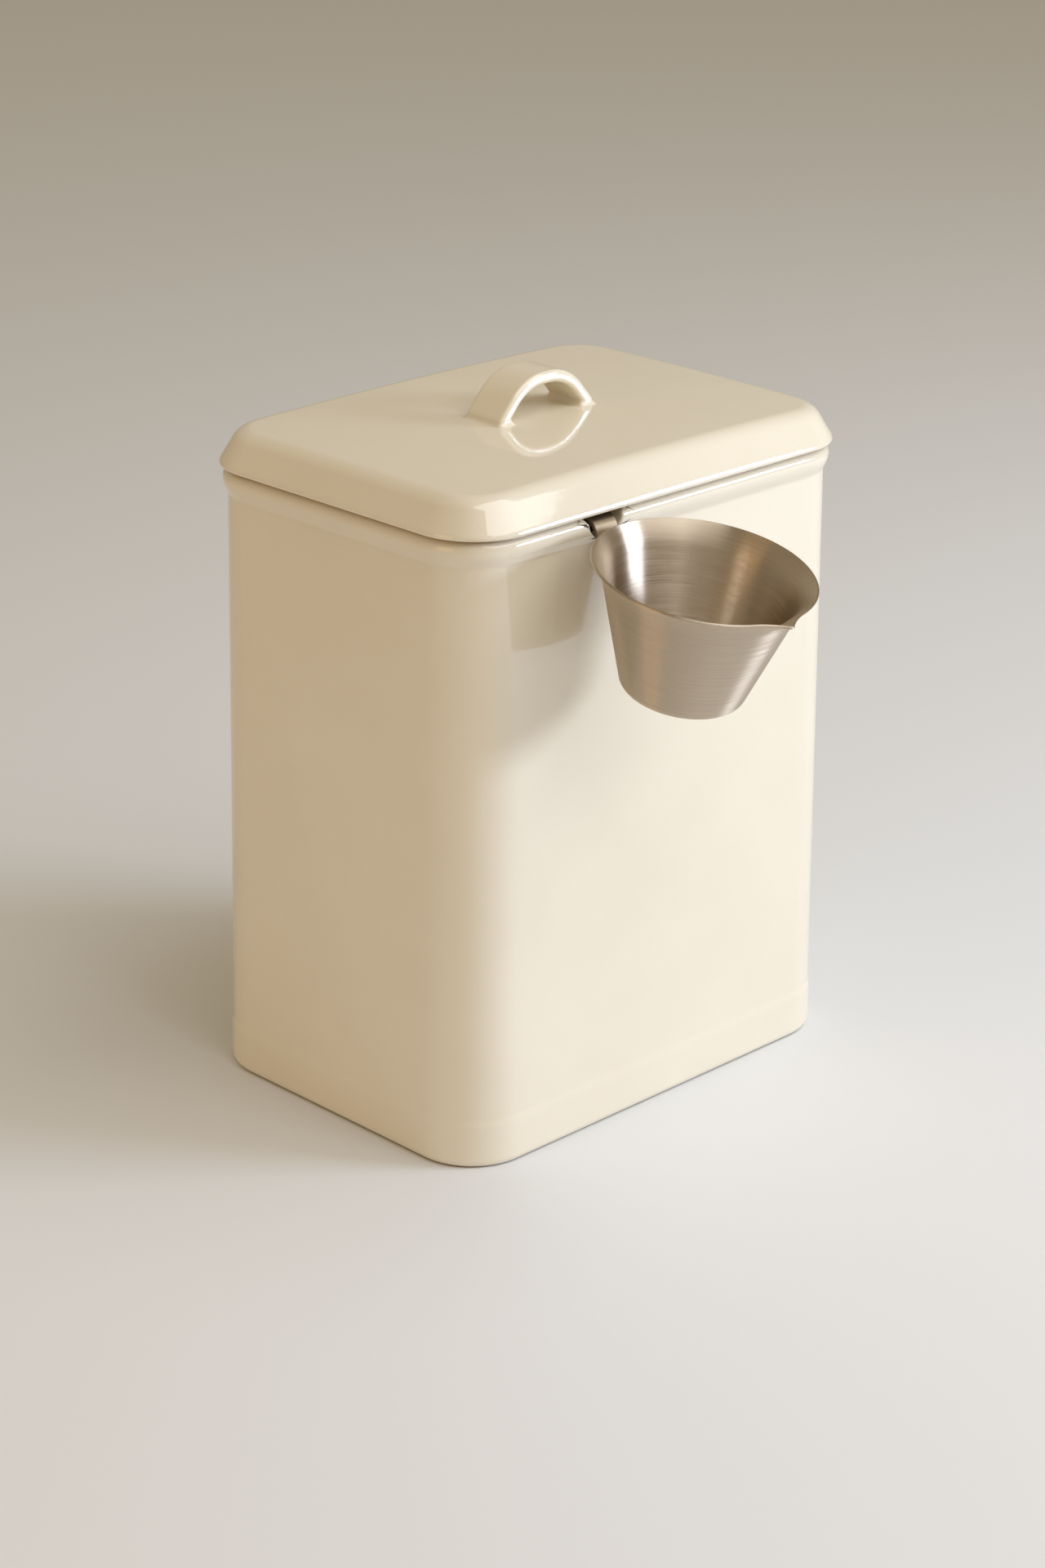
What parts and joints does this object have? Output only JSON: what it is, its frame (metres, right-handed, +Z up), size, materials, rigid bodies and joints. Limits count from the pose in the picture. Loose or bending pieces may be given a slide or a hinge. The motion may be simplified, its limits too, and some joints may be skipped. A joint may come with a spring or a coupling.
{
  "type": "detergent jar",
  "caption": "Rectangular glazed ceramic jar for washing powder, with a crowned lid that has a strap handle and a spouted steel scoop hooked in a notch of its rim.",
  "frame": {"origin": "middle of the jar's flat foot, on the floor", "axes": "+Z up, +X along the long side, the front with the notch and scoop faces -Y"},
  "size_m": [0.181, 0.213, 0.2434],
  "materials": {
    "jar_body": "glossy cream glaze",
    "lid": "glossy cream glaze",
    "scoop_cup": "brushed round the cup",
    "scoop_hook": "brushed along the strip"
  },
  "bodies": {
    "root": {"jar_body": "jar_body", "lid": "lid", "scoop_cup": "scoop_cup", "scoop_hook": "scoop_hook"}
  },
  "joints": []
}
